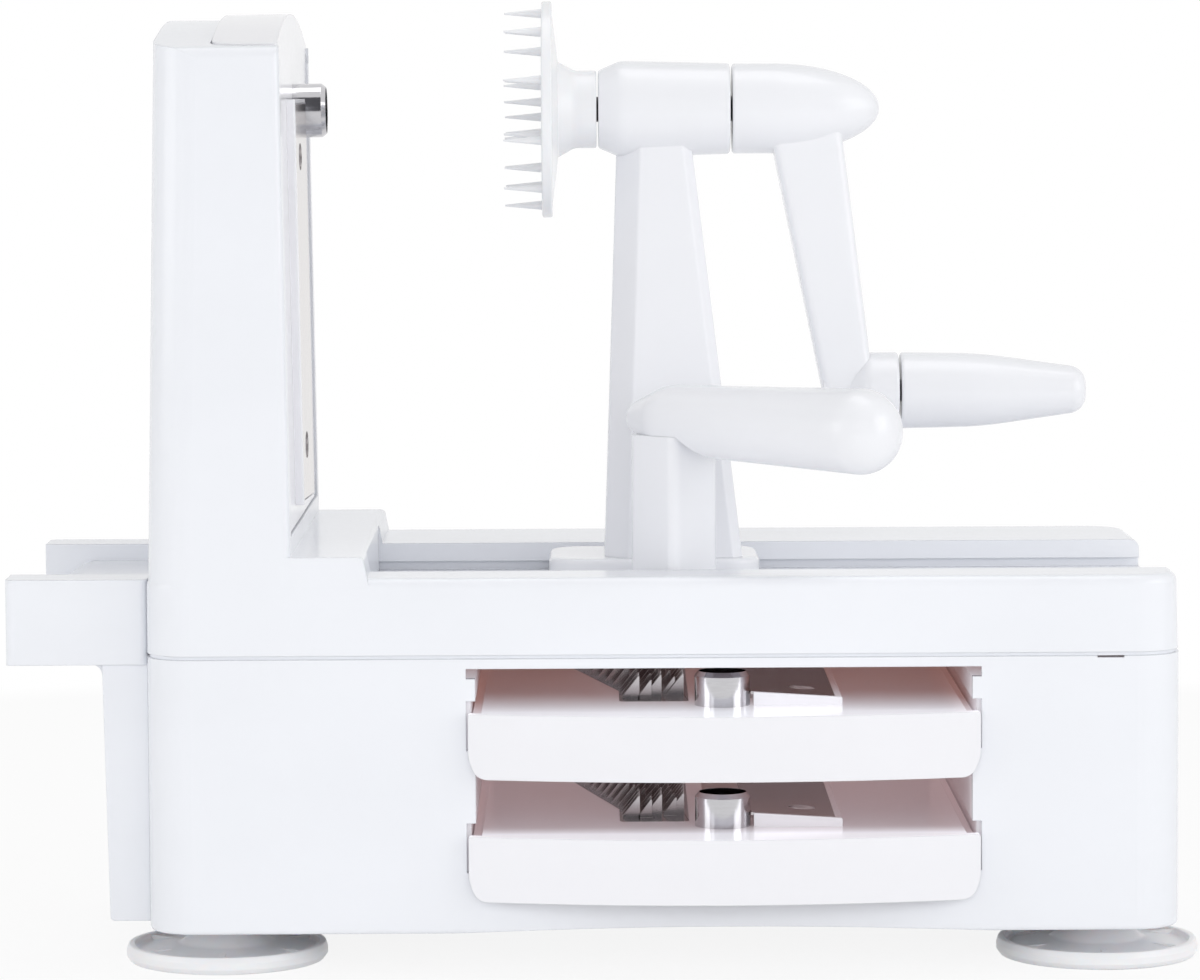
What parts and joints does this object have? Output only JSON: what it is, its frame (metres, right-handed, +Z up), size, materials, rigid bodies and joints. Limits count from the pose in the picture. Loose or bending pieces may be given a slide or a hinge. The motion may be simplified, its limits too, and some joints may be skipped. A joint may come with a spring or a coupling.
{
  "type": "hand cranked spiralizer",
  "caption": "Hand-cranked vegetable spiralizer: spiked disc and crank on a sliding carriage, a blade cassette in an upright tower, spare blade cassettes stored in the base.",
  "frame": {"origin": "on the table, under the middle of the whole object's bounding box at rest", "axes": "+Z up, +X along the carriage's travel from the tower to the crank's end, -Y towards the person turning the crank, where the side handle reaches out"},
  "size_m": [0.3148, 0.1698, 0.2541],
  "materials": {
    "white_housing": "polished mould",
    "white_cassette": "polished mould",
    "white_guide": "fine matte",
    "white_carriage": "polished mould",
    "white_disc": "semi gloss",
    "bush_plastic": "natural",
    "foot_rubber": "soft translucent",
    "blade_steel": "fine ground",
    "ring_steel": "polished tube",
    "shaft_steel": "turned",
    "screw_steel": "zinc plated"
  },
  "bodies": {
    "base": {"lower_base": "white_housing", "upper_housing": "white_housing", "left_drawer_guide": "white_guide", "right_drawer_guide": "white_guide", "housing_screws": "screw_steel", "front_left_foot": "foot_rubber", "rear_left_foot": "foot_rubber", "front_right_foot": "foot_rubber", "rear_right_foot": "foot_rubber"},
    "chute": {"outlet_chute": "white_housing"},
    "carriage": {"carriage_slide": "white_carriage", "crank_post": "white_carriage", "post_screws": "screw_steel", "disc_side_bush": "bush_plastic", "crank_side_bush": "bush_plastic", "handle_post": "white_carriage", "handle_bar": "white_carriage", "handle_screw": "screw_steel"},
    "crank": {"crank_shaft": "shaft_steel", "spiked_disc": "white_disc", "crank_arm": "white_carriage", "grip_axle": "shaft_steel"},
    "grip": {"grip": "white_carriage"},
    "tower_cassette": {"tower_cassette_frame": "white_cassette", "tower_coring_ring": "ring_steel", "tower_flat_blade": "blade_steel"},
    "upper_cassette": {"upper_cassette_frame": "white_cassette", "upper_coring_ring": "ring_steel", "upper_flat_blade": "blade_steel", "upper_comb_blade": "blade_steel"},
    "lower_cassette": {"lower_cassette_frame": "white_cassette", "lower_coring_ring": "ring_steel", "lower_flat_blade": "blade_steel", "lower_comb_blade": "blade_steel"}
  },
  "joints": [
    {"name": "carriage_travel", "type": "slide", "parent": "base", "child": "carriage", "axis": [1, 0, 0], "range_m": [-0.046, 0.1]},
    {"name": "crank_turn", "type": "hinge", "parent": "carriage", "child": "crank", "pos_m": [0.03535, 0.0138, 0.22479], "axis": [1, 0, 0], "continuous": true},
    {"name": "grip_spin", "type": "hinge", "parent": "crank", "child": "grip", "pos_m": [0.08105, 0.0138, 0.14779], "axis": [1, 0, 0], "continuous": true},
    {"name": "tower_cassette_lift", "type": "slide", "parent": "base", "child": "tower_cassette", "axis": [-0.0136, 0, 0.9999], "range_m": [0, 0.13]},
    {"name": "upper_cassette_pull", "type": "slide", "parent": "base", "child": "upper_cassette", "axis": [0, -1, 0], "range_m": [0, 0.12]},
    {"name": "lower_cassette_pull", "type": "slide", "parent": "base", "child": "lower_cassette", "axis": [0, -1, 0], "range_m": [0, 0.12]},
    {"name": "chute_lift", "type": "slide", "parent": "base", "child": "chute", "axis": [0, 0, 1], "range_m": [0, 0.066]}
  ]
}
